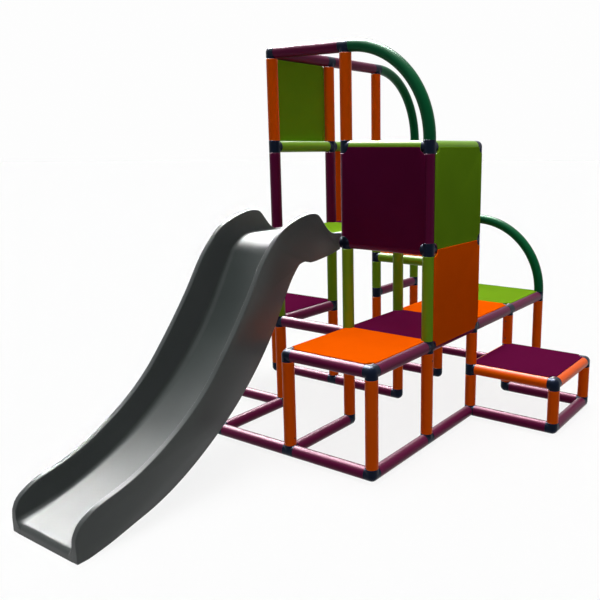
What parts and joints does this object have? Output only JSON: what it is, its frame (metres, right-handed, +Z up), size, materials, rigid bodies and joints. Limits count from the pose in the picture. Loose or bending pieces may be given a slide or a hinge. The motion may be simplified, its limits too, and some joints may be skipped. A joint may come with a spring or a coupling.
{
  "type": "climbing frame",
  "caption": "Modular climbing frame of round tubes on a square grid, with plug-in connectors, clip-on deck and wall panels, quarter arches and a moulded wave slide.",
  "frame": {"origin": "middle of the footprint, on the floor", "axes": "+Z up; +Y from the foot of the slide towards the back of the frame; +X across, towards the low seat"},
  "size_m": [1.65, 2.556, 1.65],
  "materials": {
    "orange_plastic": "smooth glossy orange moulded plastic",
    "purple_plastic": "smooth glossy deep purple moulded plastic",
    "green_plastic": "smooth glossy yellow-green moulded plastic",
    "petrol_plastic": "smooth glossy dark green moulded plastic",
    "navy_plastic": "glossy near-black blue moulded plastic",
    "slide_plastic": "satin dark grey moulded plastic"
  },
  "bodies": {
    "root": {"floor_rails_across": "purple_plastic", "floor_rails_along": "purple_plastic", "lower_posts_front": "orange_plastic", "lower_posts_middle": "orange_plastic", "lower_posts_back": "orange_plastic", "seat_short_posts": "orange_plastic", "seat_rails": "orange_plastic", "deck_rails_across": "purple_plastic", "deck_rails_along": "purple_plastic", "second_posts": "green_plastic", "bench_short_posts": "green_plastic", "bench_rails": "green_plastic", "platform_rails_across": "purple_plastic", "platform_rails_along": "purple_plastic", "third_posts": "purple_plastic", "upper_rails_across": "green_plastic", "upper_rails_along": "green_plastic", "top_posts": "orange_plastic", "top_rails": "purple_plastic", "floor_connectors": "navy_plastic", "seat_connectors": "navy_plastic", "deck_connectors": "navy_plastic", "bench_connectors": "navy_plastic", "platform_connectors": "navy_plastic", "upper_connectors": "navy_plastic", "top_connectors": "navy_plastic", "front_deck_panel": "orange_plastic", "second_deck_panel": "purple_plastic", "third_deck_panel": "orange_plastic", "back_deck_panel": "green_plastic", "low_seat_panel": "purple_plastic", "side_deck_panel": "purple_plastic", "bench_panel": "orange_plastic", "slide_platform_panel": "green_plastic", "tower_floor_panel": "purple_plastic", "den_floor_panel": "orange_plastic", "den_front_wall": "purple_plastic", "den_side_wall": "green_plastic", "crawl_side_wall": "orange_plastic", "tower_side_wall": "green_plastic", "tower_back_wall": "orange_plastic", "tower_front_arch": "petrol_plastic", "tower_back_arch": "petrol_plastic", "bench_arch": "petrol_plastic", "slide": "slide_plastic"}
  },
  "joints": []
}
